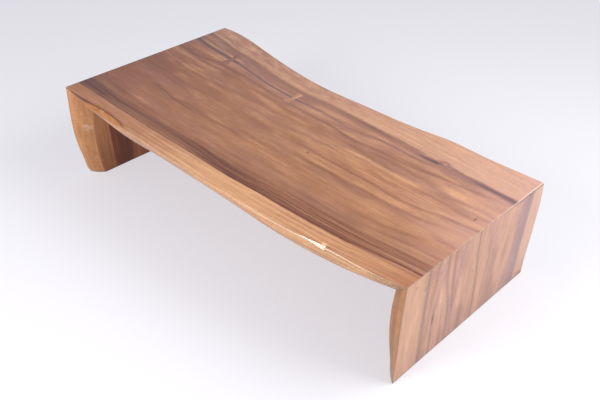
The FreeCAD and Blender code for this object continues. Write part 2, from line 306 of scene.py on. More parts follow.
# Dark streaks of the top: points on their middle line, half width and strength. One whose
# line starts or ends past the board is still strong at the board's end.
TOP_DARK = (
    (((-800, 288), (-690, 278), (-640, 272), (-590, 259), (-500, 252), (-400, 240),
      (-300, 223), (-200, 215), (-100, 220), (0, 227), (150, 228), (300, 234), (420, 232)),
     7, 0.26),
    (((-820, 232), (-700, 226), (-600, 222), (-500, 218), (-420, 214)), 8, 0.22),
    (((-500, 232), (-400, 225), (-300, 208), (-200, 200), (-60, 205), (60, 215),
      (200, 215), (420, 212)), 18, 0.22),
    (((-820, 126), (-700, 117), (-640, 112), (-600, 117), (-540, 134), (-480, 135),
      (-380, 139), (-250, 131), (-130, 127), (0, 125), (80, 127), (140, 119), (220, 121),
      (300, 132), (400, 140), (500, 160), (600, 176), (710, 192)), 7, 0.38),
    (((-640, 106), (-550, 100), (-450, 103), (-340, 106)), 7, 0.26),
    (((-600, -144), (-530, -150), (-450, -159), (-380, -164), (-270, -168)), 5, 0.50),
    (((-440, -154), (-330, -150), (-250, -156), (-150, -147), (-60, -152)), 6, 0.40),
    (((-820, -42), (-650, -57), (-600, -52), (-500, -60), (-400, -55), (-200, -47),
      (0, -52)), 8, 0.20),
    (((-820, -72), (-650, -80), (-450, -86), (-380, -90)), 7, 0.18),
    (((-560, 8), (-480, 14), (-400, 25), (-300, 34), (-150, 54)), 11, 0.20),
    (((20, -30), (150, -29), (250, -30), (400, -25), (480, -24), (550, -15), (600, -4),
      (650, 8), (820, 44)), 5, 0.34),
    (((90, -89), (150, -86), (250, -78), (330, -80), (420, -71), (500, -66), (570, -58),
      (640, -40), (690, -32)), 6, 0.34),
    (((140, -101), (250, -98), (420, -92), (600, -84)), 18, 0.20),
    (((230, 104), (350, 111), (450, 115), (580, 118)), 9, 0.34),
    (((140, 88), (230, 90), (310, 80), (420, 83)), 8, 0.32),
    (((240, 146), (340, 152), (460, 168), (560, 176)), 9, 0.24),
    (((520, 84), (600, 96), (680, 106)), 7, 0.26),
    (((470, 52), (550, 60), (660, 62), (740, 66)), 9, 0.30),
    (((360, 20), (450, 25), (540, 28)), 6, 0.24),
    (((-330, -114), (0, -126), (120, -122)), 10, 0.07),
    (((400, -178), (480, -165), (580, -146), (680, -112)), 7, 0.22),
    (((450, -205), (600, -178), (700, -140)), 8, 0.18),
    (((-830, -410), (-750, -409), (-700, -407), (-640, -403), (-560, -395), (-500, -391),
      (-440, -394), (-370, -404)), 4, 0.85),
    (((350, -380), (400, -371), (440, -360), (470, -350), (540, -338)), 2, 0.70),
    # Not a streak: a broad faint painted shade that darkens the left end of the top
    (((-900, -60), (-800, -60), (-700, -60), (-560, -60)), 160, 0.10),
    (((520, -160), (620, -160), (720, -160), (900, -160)), 60, 0.13),
    (((600, -338), (660, -330), (720, -319), (760, -308), (850, -290)), 2.5, 0.50),
    (((380, 204), (470, 206), (560, 210), (660, 216)), 12, 0.32),
    (((-700, 262), (-620, 256), (-540, 244), (-440, 232)), 11, 0.26),
    (((50, 150), (150, 151), (250, 154)), 18, 0.17),
    (((540, 34), (610, 36), (680, 42)), 10, 0.20),
    (((-150, -13), (-60, -14), (40, -17)), 8, 0.22),
    (((-30, -92), (60, -92), (160, -94)), 18, 0.15),
    (((110, -142), (210, -142), (330, -140)), 16, 0.16),
    (((240, -218), (330, -217), (420, -217), (540, -214)), 13, 0.26),
    (((290, 287), (370, 286), (470, 284)), 9, 0.14),
    (((-310, 258), (-230, 256), (-150, 254), (-80, 256)), 8, 0.15),
)

# Dark lines of the dark band beside the near sapwood
TOP_BAND = (
    (((-820, -299), (-650, -306), (-550, -312), (-450, -308), (-300, -303), (-150, -306),
      (0, -313), (100, -308), (200, -298), (350, -290), (500, -276), (650, -255),
      (820, -230)), 5, 0.34),
    (((-560, -292), (-400, -290), (-200, -288), (-100, -290), (0, -294), (100, -284),
      (200, -268), (300, -262), (400, -262), (500, -252), (600, -242), (700, -226),
      (780, -209)), 3, 0.24),
    (((-820, -240), (-650, -255), (-450, -268), (-300, -262), (-100, -266), (100, -258),
      (300, -242), (500, -228), (700, -203), (780, -190)), 5, 0.15),
    (((0, -327), (150, -318), (300, -308), (450, -294), (600, -276), (820, -238)),
     2.5, 0.28),
    (((150, -286), (250, -282), (350, -277), (500, -264), (650, -247), (780, -226)),
     2.5, 0.24),
    (((220, -250), (350, -246), (500, -238), (620, -228), (780, -201)), 2.5, 0.20),
    (((-900, -326), (-750, -326), (-650, -328), (-560, -330)), 10, 0.22),
    (((-900, -266), (-750, -266), (-650, -267), (-540, -270)), 24, 0.22),
    (((-900, -357), (-750, -357), (-650, -355), (-560, -352)), 8, 0.17),
)

# Inky stains of the top: beside the crack, along the thin line past it, behind the knot
TOP_INK = (
    (((-820, 212), (-740, 208), (-700, 203), (-640, 197), (-550, 195), (-440, 190)),
     8, 0.75),
    (((-520, 192), (-400, 181), (-300, 168), (-200, 163), (-100, 166), (0, 171), (60, 169),
      (130, 163), (200, 173), (260, 187), (340, 190), (480, 191)), 3.5, 0.46),
    (((345, 210), (395, 214), (420, 218), (455, 223), (505, 228)), 8, 0.80),
    (((455, 232), (500, 231), (540, 228), (630, 226)), 8, 0.52),
    (((562, 228), (630, 227), (680, 229), (740, 229), (820, 231)), 10, 0.93),
)

# Pale streaks of the top
TOP_PALE = (
    (((-760, 228), (-650, 217), (-560, 211), (-440, 203)), 6, 0.60),
    (((-780, 256), (-700, 248), (-640, 243), (-570, 236)), 10, 0.25),
    (((-560, 174), (-520, 173), (-460, 172)), 8, 0.25),
    (((-760, 165), (-680, 160), (-600, 165), (-520, 172)), 14, 0.25),
    (((-800, 96), (-650, 86), (-550, 84), (-440, 92)), 8, 0.32),
    (((-330, 84), (-200, 80), (-90, 72)), 5, 0.32),
    (((-120, 150), (-20, 152), (80, 150)), 8, 0.30),
    (((-100, 190), (50, 192), (200, 194), (310, 200)), 7, 0.42),
    (((90, 128), (180, 132), (260, 138)), 4, 0.28),
    (((180, 62), (300, 67), (420, 65), (540, 76)), 10, 0.38),
    (((60, -58), (200, -67), (300, -60), (450, -48), (600, -30)), 8, 0.26),
    (((520, 0), (600, 12), (700, 36), (800, 50)), 7, 0.26),
    (((300, 156), (420, 168), (520, 178), (640, 160), (760, 170)), 8, 0.28),
    (((440, 118), (540, 126), (680, 140)), 12, 0.25),
    (((560, 118), (660, 122), (760, 126), (900, 130)), 20, 0.14),
    (((380, -105), (500, -95), (600, -92), (700, -80)), 12, 0.22),
    (((-560, 272), (-400, 262), (-280, 244), (-150, 240), (0, 251), (150, 249),
      (300, 250)), 6, 0.40),
    (((-420, -338), (-200, -330), (0, -334), (200, -330)), 5, 0.25),
    (((50, -12), (130, -14), (230, -14)), 8, 0.22),
    (((-100, -188), (0, -188), (80, -190)), 14, 0.14),
)

# Spots of the top: place, half sizes and strength
TOP_SPOTS = ((130, -50, 5, 5, 0.5), (706, 68, 3, 10, 0.5), (448, 221, 12, 6, 0.5))

# The small burl above the flat of the near edge: place and half sizes
TOP_BURL = (478, -343, 9, 6)

# The knot by the far sapwood: place and half sizes of the whole and of its heart, and how
# far the border of the sapwood bends round it
KNOT = (474, 236, 16, 12)
KNOT_HEART = (475, 234, 9.9, 7.4)
KNOT_HEART_COLOUR = rgb(188, 132, 108)
KNOT_BULGE = (474, 236, 25.6, 24)
BULGE_DEPTH = 0.013

# Painted highlight on the arris along a mitre: distances from it and strength at both, and the
# same by the place along the table for the painted glint on the right one, with where that is
# across it
MITRE_HIGHLIGHT_FADE = (0.0005, 0.0022, 0.7, 0.0)
MITRE_GLEAM = (0.7435, 0.7475, 0.0, 0.6)
GLEAM_SIDE = (0.02, 0.36)

# Pale fill along the right mitre: places on the top and half sizes
MITRE_FILL = ((749, -128, 2, 4), (749, -88, 2, 6), (748, -12, 3, 4), (749, 32, 2, 6))

# The small flat sanded on the near edge: the way it faces, the cosines from which and up to
# which a face counts as part of it, where it is along the table, and how rough it is
FLAT_NORMAL = (0.1626, -0.7518, 0.6390)
FLAT_COSINES = (0.9985, 0.9995)
FLAT_SPAN = (0.335, 0.345, 0.492, 0.496)
FLAT_ROUGH = 0.15


def spot(g, plank, along, across, half_along, half_across, soft=0.5):
    """Round mask about a place of the board. The softer it is, the wider its rim fades."""
    x = g.math("DIVIDE", g.minus(plank.along, along * MM), half_along * MM)
    y = g.math("DIVIDE", g.minus(plank.across, across * MM), half_across * MM)
    away = g.math("SQRT", g.plus(g.times(x, x), g.times(y, y)))
    return g.ramp(away, 1.0 - soft, 1.0 + soft, 1.0, 0.0)


# Noises of the wood: scale along and across the grain, detail, roughness and seed
NOISES = {
    "broad": (0.8, 13.0, 2.0, 0.5, 3.1),
    "cloud": (7.0, 28.0, 3.0, 0.6, 2.3),
    "hue": (2.0, 15.0, 2.0, 0.5, 9.7),
    "medium": (3.0, 60.0, 4.0, 0.6, 11.7),
    "lines": (2.0, 140.0, 4.0, 0.65, 7.9),
    "rows": (0.5, 130.0, 2.0, 0.5, 1.9),
    "threads": (0.8, 230.0, 1.0, 0.5, 12.3),
    "fine": (9.0, 330.0, 3.0, 0.6, 5.3),
    "flecks": (16.0, 40.0, 4.0, 0.65, 6.1),
    "ripple": (230.0, 40.0, 2.0, 0.5, 4.7),
    "holes": (42.0, 1100.0, 2.0, 0.5, 8.9),
}

# How much each noise counts in the figure of the sawn faces
FIGURE = {"broad": 0.18, "medium": 0.24, "lines": 0.18, "cloud": 0.42}

# Distances from the borders of the heartwood over which the sapwood starts
NEAR_BORDER = (-0.0025, 0.0015)
FAR_BORDER = (-0.006, 0.003)

# Depths in the board: the outer arris, the live edges, and where those get deeper by how much
OUTER_ARRIS = (0.0002, 0.0006, 0.0012, 0.0026)
LIVE_EDGE = (0.0012, 0.003, THICKNESS - 0.002, THICKNESS - 0.0008)
LOWER_EDGE = (0.012, 0.036, 0.0, -0.16)


def darkened(g, plank, dark, marks):
    """Strength of the dark figure with round marks added: place, half sizes, strength."""
    for *place, strength in marks:
        dark = g.scaled(spot(g, plank, *place), strength, dark)
    return dark


def stained(g, plank, colour, marks, tint):
    """A colour with round marks of a tint over it: place, half sizes, strength."""
    for *place, strength in marks:
        share = g.times(spot(g, plank, *place, 0.9), strength)
        colour = g.mix(share, colour, tint)
    return colour


class Grain:
    """The noises of a board, from broad bands to single fibres."""

    def __init__(self, g, plank):
        self.g = g
        for name, settings in NOISES.items():
            setattr(self, name, plank.grain(*settings))
        self.pores = g.ramp(self.holes, 0.45, 0.9)
        self.strength = 1.0

    def weigh(self, base, **weights):
        """A base plus several of the noises, each times its weight."""
        for name, weight in weights.items():
            base = self.g.scaled(getattr(self, name), weight, base)
        return base


def faces(g, plank, grain, heart, sap, dark, pale, dark_colour, pale_colour):
    """Colour of the sawn faces: heartwood between two bands of sapwood, and their streaks."""
    in_near = g.ramp(plank.from_near, *NEAR_BORDER, 1.0, 0.0)
    in_far = g.ramp(plank.from_far, *FAR_BORDER, 1.0, 0.0)
    in_sap = g.math("MAXIMUM", in_near, in_far)
    colour = g.mix(in_far, g.mix(in_near, heart, sap[0]), sap[1])
    tone = g.times(grain.weigh(0.0, **FIGURE), g.scaled(in_sap, -0.7, grain.strength))
    pale = g.plus(g.math("MAXIMUM", tone, 0.0), pale)
    pale = g.times(pale, grain.weigh(1.0, lines=0.4), clamp=True)
    dark = g.plus(g.math("MAXIMUM", g.times(tone, -0.75), 0.0), dark)
    dark = g.times(dark, grain.weigh(1.0, lines=0.5, cloud=0.35), clamp=True)
    colour = g.mix(pale, colour, pale_colour)
    return g.mix(dark, colour, dark_colour)


def live_edge(g, plank, share, seed, strength, deep=EDGE_DEEP, gold=EDGE_GOLD):
    """Colour of the live edges: growth lines along them, and a deeper tone lower down."""
    place = g.vector(g.scaled(plank.along, 2.2, seed),
                     g.times(plank.across, 34.0), g.times(plank.depth, 130.0))
    lines = g.noise(place, 4.0, 0.6, 0.6)
    lines = g.times(g.ramp(lines, 0.3, 0.7, -1.0, 1.0, smooth=False), strength)
    lower = g.ramp(plank.depth, *LOWER_EDGE)
    tone = g.plus(g.plus(share, lines), lower, clamp=True)
    return g.mix(tone, deep, gold)


# Gloss of the wood, radius of its softened arrises, strength and height of its bump
WOOD_ROUGH = 0.36
WOOD_SPECULAR = 0.35
ARRIS_RADIUS = 0.004
BUMP_STRENGTH = 0.25
BUMP_HEIGHT = 0.0002


def surface(g, plank, grain, colour, wear_and_highlight, polish, shader):
    """Worn arrises with a painted highlight, fibres, pores, gloss and bump over the colour of a
    board.
    """
    # The pale arris colour is wear and a painted highlight together
    outside = g.between(plank.depth, *OUTER_ARRIS)
    worn_and_lit = g.times(outside, grain.weigh(0.85, medium=0.35), clamp=True)
    colour = g.mix(g.times(worn_and_lit, wear_and_highlight), colour, WORN_AND_HIGHLIGHT_PALE)
    fibre = grain.weigh(1.0, fine=0.20, ripple=0.07, pores=-0.2)
    shade = g.add("ShaderNodeVectorMath", {0: colour, "Scale": fibre}, operation="SCALE")
    rough = g.scaled(outside, -0.12, grain.weigh(WOOD_ROUGH, medium=0.05, pores=0.15))
    rough = g.scaled(polish, g.minus(FLAT_ROUGH, rough), rough)
    height = g.times(grain.weigh(0.0, fine=0.3, pores=-1.0), g.minus(1.0, polish))
    rounded = g.add("ShaderNodeBevel", {"Radius": ARRIS_RADIUS}, samples=6).outputs[0]
    plain = g.add("ShaderNodeNewGeometry").outputs["True Normal"]
    bump = g.add("ShaderNodeBump", {"Strength": BUMP_STRENGTH, "Distance": BUMP_HEIGHT,
                                    "Height": height, "Normal": g.blend(polish, rounded, plain)})
    g.feed(shader, {"Base Color": shade.outputs[0], "Roughness": rough,
                    "Specular IOR Level": WOOD_SPECULAR, "Normal": bump.outputs[0]})


def new_material(name):
    """A material with its shader, and a graph to add nodes to."""
    material = bpy.data.materials.new(name)
    material.use_nodes = True
    shader = material.node_tree.nodes["Principled BSDF"]
    return material, Graph(material.node_tree), shader


def object_point(g):
    """A point of a node, in the table's frame."""
    return g.add("ShaderNodeTexCoord").outputs["Object"]


def object_place(g):
    """The three coordinates of a point of a node, in the table's frame."""
    return g.add("ShaderNodeSeparateXYZ", {0: object_point(g)}).outputs


def sapwood(g, grain, near_share, far_share, flecks, pink_sheen, lined):
    """Colours of the near and the far sapwood, with fine lines along the grain; the far one turns
    pink with a painted sheen.
    """
    lines = g.times(grain.weigh(0.0, lines=0.5, rows=0.12, flecks=0.12), lined)
    near = g.mix(g.plus(near_share, lines, clamp=True), SAP_DEEP, SAP_PALE)
    lines = grain.weigh(g.times(lines, 0.5), medium=0.26, flecks=flecks)
    far = g.mix(g.plus(far_share, lines, clamp=True), SAP_FAR_DEEP, SAP_FAR_PALE)
    return near, g.mix(pink_sheen, far, SAP_PINK_SHEEN)


def outer_mask(g, plank):
    """Mask of the live edges: all that lies between the two sawn faces."""
    return g.between(plank.depth, *LIVE_EDGE)


# Distances from the near sapwood between which the top's figure is quieter
TOP_QUIET = (0.08, 0.14, 0.20, 0.34)

# What changes along the top, as a share at places from its left end to its right one.
# Heartwood: strength of the figure, warm colour whose rise to the right is partly painted light,
# and rose and pink colour, partly a painted sheen
TOP_FIGURE = ((-750, 0.8), (-300, 0.9), (100, 1.0), (750, 1.0))
TOP_WARM_AND_LIT = ((-750, 0.0), (-450, 0.3), (-250, 0.4), (0, 0.45), (250, 0.52), (450, 0.55),
            (600, 0.7), (750, 0.9))
TOP_ROSE_SHEEN = ((-750, 0.0), (500, 0.0), (620, 0.3), (750, 0.8))
TOP_PINK_SHEEN = ((-750, 0.0), (300, 0.0), (560, 0.35), (750, 0.8))

# Sapwood: flecks and fine lines in it, paleness of the near and of the far band
TOP_FLECKS = ((-750, 0.35), (-500, 0.6), (-150, 0.5), (200, 0.2), (750, 0.1))
TOP_LINED = ((-750, 0.9), (0, 1.0), (400, 1.0), (600, 0.6), (750, 0.4))
TOP_NEAR_PALE = ((-750, 0.1), (-450, 0.2), (-250, 0.34), (-50, 0.70), (100, 0.72),
                 (200, 0.70), (320, 0.48), (450, 0.43), (600, 0.35), (750, 0.15))
TOP_FAR_PALE = ((-750, 0.22), (-600, 0.30), (-450, 0.25), (-250, 0.46), (-100, 0.30),
                (60, 0.52), (250, 0.6), (500, 0.75), (750, 0.85))

# Live edge: worn arris with a painted highlight, golden colour, and lilac colour that is a
# painted reflection of the floor
TOP_GLEAM = ((-750, 0.05), (-300, 0.25), (-60, 0.25), (90, 0.15), (210, 0.75), (300, 0.95),
             (520, 1.0), (640, 0.5), (750, 0.3))
TOP_GOLD = ((-750, 0.35), (-400, 0.45), (0, 0.6), (320, 0.6), (450, 0.55), (580, 0.48),
            (750, 0.5))
TOP_FLOOR_REFLECTION = ((-750, 0.3), (-300, 0.65), (-50, 0.4), (200, 0.0), (750, 0.0))

# Dark band inside the near sapwood: its narrow dark part and its broad softer one
TOP_NARROW_BAND = ((-750, 0.85), (-450, 0.72), (-250, 0.78), (50, 1.0), (200, 0.62),
                   (500, 0.56), (620, 0.42), (750, 0.42))
TOP_BROAD_BAND = ((-750, 0.4), (-300, 0.2), (0, 1.0), (200, 0.9), (500, 0.8), (750, 0.6))

# How each part fades with the distance from the sapwood: from, to, and strength at both
NARROW_FADE = (0.036, 0.085, 0.50, 0.0)
BROAD_FADE = (0.05, 0.19, 0.26, 0.0)
BAND_BORDER = (0.0, 0.002)


def near_band(g, plank, grain):
    """Strength of the dark band inside the near sapwood, made of fine parallel lines."""
    narrow = g.times(g.ramp(plank.from_near, *NARROW_FADE), plank.share(TOP_NARROW_BAND))
    broad = g.times(g.ramp(plank.from_near, *BROAD_FADE), plank.share(TOP_BROAD_BAND))
    band = g.times(g.plus(narrow, broad), g.ramp(plank.from_near, *BAND_BORDER))
    return g.times(band, grain.weigh(1.0, fine=0.4, rows=0.5, threads=0.5))


# The scoop of the near edge: where it is along and across the table, the depths of its
# amber wood and of the dark border above it
SCOOP_SPAN = (-0.70, -0.60, -0.42, -0.34)
SCOOP_SIDE = (-0.3, -0.35)
SCOOP_DEPTHS = (0.0001, 0.0005, 0.008, 0.014)
SCOOP_BORDER = (0.0, 0.006, 0.85, 0.0)

# The dark arris from the scoop to the left end: along and across the table, and its depths
END_SPAN = (-0.60, -0.66)
END_SIDE = (-0.35, -0.39)
END_DEPTHS = (0.0006, 0.0012, 0.005, 0.010)


def scoop_window(g, plank):
    """Mask of the stretch of the near edge that the scoop takes up."""
    return g.times(g.between(plank.along, *SCOOP_SPAN), g.ramp(plank.across, *SCOOP_SIDE))


def scoop(g, plank, window, colour):
    """Amber wood in the scoop of the near edge, and a dark arris from there to the left."""
    inside = g.times(window, g.between(plank.depth, *SCOOP_DEPTHS, 0.85))
    cloud = g.noise(plank.places(30.0, 70.0, 2.0), 3.0, 0.6)
    amber = g.mix(g.ramp(cloud, 0.46, 0.74), AMBER, AMBER_PALE)
    border = g.plus(g.ramp(plank.depth, *SCOOP_BORDER),
                    g.ramp(cloud, 0.3, 0.46, 0.5, 0.0), clamp=True)
    colour = g.mix(inside, colour, g.mix(border, amber, AMBER_DEEP))
    arris = g.times(g.ramp(plank.along, *END_SPAN), g.ramp(plank.across, *END_SIDE),
                    g.between(plank.depth, *END_DEPTHS, 0.8))
    return g.mix(arris, colour, AMBER_DEEP)


# Burl lines and brown wood on the near live edge: where they start, along and across it
BURL_START = (0.48, 0.64)
BROWN_START = (0.60, 0.745)
NEAR_SIDE = (-0.25, -0.3)


def burl(g, plank, colour):
    """Yellow burl lines on the near live edge, and brown wood by the right corner."""
    near = g.ramp(plank.across, *NEAR_SIDE)
    turns = g.noise(plank.places(34.0, 90.0, g.times(plank.depth, 140.0)), 4.0, 0.6, 2.2)
    lines = g.times(g.ramp(plank.along, *BURL_START), near, g.ramp(turns, 0.45, 0.62, 0.0, 0.65))
    brown = g.times(g.ramp(plank.along, *BROWN_START), near, g.ramp(turns, 0.35, 0.6, 0.9, 0.4))
    return g.mix(brown, g.mix(lines, colour, BURL), CORNER_BROWN)


def knot(g, plank, colour):
    """A small knot: a dark ring round a pale heart."""
    whole = spot(g, plank, *KNOT, 0.35)
    heart = spot(g, plank, *KNOT_HEART, 0.6)
    colour = g.mix(g.times(whole, 0.45), colour, INK)
    return g.mix(g.times(heart, 0.7), colour, KNOT_HEART_COLOUR)


def flat_mask(g, plank):
    """Mask of the small flat sanded on the near edge, told by the way it faces."""
    plain = g.add("ShaderNodeNewGeometry").outputs["True Normal"]
    turned = g.add("ShaderNodeVectorMath", {0: plain, 1: FLAT_NORMAL}, operation="DOT_PRODUCT")
    return g.times(g.between(plank.along, *FLAT_SPAN),
                   g.ramp(turned.outputs["Value"], *FLAT_COSINES))


def mitre_highlight(g, plank, colour):
    """Painted highlight on the arris along both mitres, with pale fill marks, and a painted glint
    along the far half of the right one.
    """
    away = g.minus(HALF_LENGTH, g.math("ABSOLUTE", plank.along))
    line = g.ramp(away, *MITRE_HIGHLIGHT_FADE)
    for mark in MITRE_FILL:
        line = g.scaled(spot(g, plank, *mark), 0.5, line, clamp=True)
    colour = g.mix(line, colour, MITRE_HIGHLIGHT_AND_FILL)
    glint = g.times(g.ramp(plank.across, *GLEAM_SIDE), g.ramp(plank.along, *MITRE_GLEAM))
    return g.mix(glint, colour, MITRE_GLINT)


# Places across the top over which its heartwood turns rose, and pink with how strongly, both
# partly a painted sheen
ROSE_SHEEN_SIDE = (0.0, 0.28)
PINK_SHEEN_SIDE = (-0.2, 0.1, 0.1, 0.75)

# Depths over which the live edge of the top turns lilac, a painted reflection of the floor
FLOOR_REFLECTION_DEPTHS = (0.010, 0.026)


def top_heart(g, plank, grain):
    """Colours of the top's heartwood and of its dark streaks, cooler and darker to the left with
    painted shade, and rose and pink partly with a painted sheen.
    """
    # The share from cool to warm also paints the light falling off towards the left end
    warm_and_lit = plank.share(TOP_WARM_AND_LIT)
    rose_sheen = g.math("MAXIMUM", g.ramp(plank.across, *ROSE_SHEEN_SIDE), plank.share(TOP_ROSE_SHEEN))
    rose_sheen = g.scaled(grain.hue, 0.45, rose_sheen, clamp=True)
    heart = g.mix(rose_sheen, g.mix(warm_and_lit, HEART_COOL_SHADED, HEART_WARM_LIT), g.mix(warm_and_lit, ROSE_COOL_SHADED, ROSE_WARM_LIT))
    pink_sheen = g.times(plank.share(TOP_PINK_SHEEN), g.ramp(plank.across, *PINK_SHEEN_SIDE))
    return g.mix(pink_sheen, heart, HEART_PINK_SHEEN), g.mix(warm_and_lit, DARK_COOL_SHADED, DARK_WARM_LIT)


def top_faces(g, plank, grain):
    """Colour of the top's sawn faces, with its streaks, inky stains, knot and burl."""
    heart, shade = top_heart(g, plank, grain)
    dark = g.plus(plank.streaks(TOP_DARK), plank.streaks(TOP_BAND))
    dark = g.plus(dark, near_band(g, plank, grain))
    dark = darkened(g, plank, dark, TOP_SPOTS)
    sap = sapwood(g, grain, plank.share(TOP_NEAR_PALE), plank.share(TOP_FAR_PALE),
                  plank.share(TOP_FLECKS), plank.share(TOP_PINK_SHEEN), plank.share(TOP_LINED))
    pale = plank.streaks(TOP_PALE)
    colour = faces(g, plank, grain, heart, sap, dark, pale, shade, HEART_PALE)
    feather = grain.weigh(0.9, cloud=0.3, lines=0.3)
    ink = g.times(plank.streaks(TOP_INK), feather, clamp=True)
    colour = knot(g, plank, g.mix(ink, colour, INK))
    return g.mix(g.times(spot(g, plank, *TOP_BURL), 0.8), colour, BURL)


def top_material():
    """Wood of the top: sawn faces, live edges, scoop, mitres and the polished flat."""
    material, g, shader = new_material("plank_top")
    x, y, z = object_place(g)
    depth = g.minus(HEIGHT, z)
    plank = Plank(g, x, y, depth, TOP_SPAN, TOP_NEAR, TOP_FAR, TOP_TILT)
    bulge = spot(g, plank, *KNOT_BULGE, 0.6)
    plank.from_far = g.scaled(bulge, BULGE_DEPTH, plank.from_far)
    grain = Grain(g, plank)
    quiet = g.between(plank.from_near, *TOP_QUIET)
    grain.strength = g.scaled(quiet, -0.25, plank.share(TOP_FIGURE))
    edge = live_edge(g, plank, plank.share(TOP_GOLD), 4.0, 0.35)
    floor_reflection = g.times(plank.share(TOP_FLOOR_REFLECTION), g.ramp(depth, *FLOOR_REFLECTION_DEPTHS))
    edge = g.mix(floor_reflection, burl(g, plank, edge), EDGE_FLOOR_REFLECTION)
    colour = g.mix(outer_mask(g, plank), top_faces(g, plank, grain), edge)
    window = scoop_window(g, plank)
    colour = mitre_highlight(g, plank, scoop(g, plank, window, colour))
    # Pale worn arris with a painted highlight, set along the top and left out in the scoop
    wear_and_highlight = g.times(plank.share(TOP_GLEAM), g.minus(1.0, window))
    surface(g, plank, grain, colour, wear_and_highlight, flat_mask(g, plank), shader)
    return material


# The legs, by depth in the board: middle of the live edges and dark outer arris
EDGE_MIDDLE = (0.006, 0.020, 0.026, 0.040)
LEG_ARRIS = (0.0002, 0.0008, 0.0015, 0.004)

# By height over the floor: painted shade of the foot, broad and close to the floor, with
# strengths
FOOT_SHADE = (0.0, 0.2, 0.17, 0.0)
FOOT_RIM_SHADE = (0.002, 0.010, 0.5, 0.0)

# By distance below the mitre: painted highlight on the arris with its strengths, a band of
# painted shade, and the places across the table over which that shade starts
BELOW_HIGHLIGHT = (0.0008, 0.003, 0.5, 0.0)
BELOW_MITRE_SHADE = (0.001, 0.0025, 0.005, 0.010)
MITRE_SHADE_SIDE = (0.1, 0.28)


def leg_edge(g, plank, grain, table):
    """Colour of a leg's live edges: their middle differs from their rims, with knots."""
    middle = g.between(plank.depth, *EDGE_MIDDLE)
    share = grain.weigh(g.scaled(middle, table["middle"], table["gold"]), flecks=0.12)
    edge = live_edge(g, plank, share, 9.0, 0.12, *table["edge"])
    return stained(g, plank, edge, table["knots"], WORN_AND_HIGHLIGHT_PALE)


def leg_ends(g, plank, z, outer, table, colour):
    """A leg's foot darkened by painted shade, and the painted highlight on the arris and the band
    of painted shade under its mitre.
    """
    # Painted shade at the foot, weaker on the live edges
    foot_shade = g.times(g.ramp(z, *FOOT_SHADE), g.ramp(outer, 0.0, 1.0, 1.0, 0.3))
    foot_shade = g.plus(g.ramp(z, *FOOT_RIM_SHADE), foot_shade)
    colour = g.mix(foot_shade, colour, table["dark_colour"])
    below = g.minus(HEIGHT, z)
    colour = g.mix(g.ramp(below, *BELOW_HIGHLIGHT), colour, MITRE_HIGHLIGHT_AND_FILL)
    # Band of painted shade just below the right mitre
    mitre_shade = g.times(g.between(below, *BELOW_MITRE_SHADE, table["mitre_shade"]), g.ramp(plank.across, *MITRE_SHADE_SIDE))
    return g.mix(mitre_shade, colour, LEG_DARK)


def leg_sapwood(g, plank, grain, table):
    """Colours of the near and of the far sapwood of a leg."""
    level = g.ramp(plank.along, *table["sap_level"])
    share = g.scaled(grain.lines, table["sap_lines"], level, clamp=True)
    return [g.mix(share, *colours) for colours in table["sap"]]


def leg_material(name, side, table):
    """Wood of a leg: its figure runs down from the mitre."""
    material, g, shader = new_material(name)
    x, y, z = object_place(g)
    along = g.scaled(z, -side, side * (HALF_LENGTH + HEIGHT))
    depth = g.minus(HALF_LENGTH, g.times(x, side))
    plank = Plank(g, along, y, depth, table["span"], table["near"], table["far"], table["tilt"])
    grain = Grain(g, plank)
    dark = darkened(g, plank, plank.streaks(table["dark"]), table["spots"])
    sap = leg_sapwood(g, plank, grain, table)
    heart = g.mix(g.ramp(grain.hue, -0.8, 0.8), *table["heart"])
    colour = faces(g, plank, grain, heart, sap, dark, plank.streaks(table["pale"]),
                   table["dark_colour"], table["pale_colour"])
    ink = g.times(plank.streaks(table["ink"]), grain.weigh(0.9, lines=0.3), clamp=True)
    colour = g.mix(ink, colour, LEG_INK)
    colour = stained(g, plank, colour, table["brown"], AMBER)
    # Painted shade at the far corner of a foot
    colour = stained(g, plank, colour, table["corner_shade"], AMBER_DEEP)
    outer = outer_mask(g, plank)
    colour = g.mix(outer, colour, leg_edge(g, plank, grain, table))
    arris = g.between(depth, *LEG_ARRIS, table["arris"])
    colour = g.mix(arris, colour, AMBER_DEEP)
    colour = leg_ends(g, plank, z, outer, table, colour)
    surface(g, plank, grain, colour, table["wear_and_highlight"], 0.0, shader)
    return material


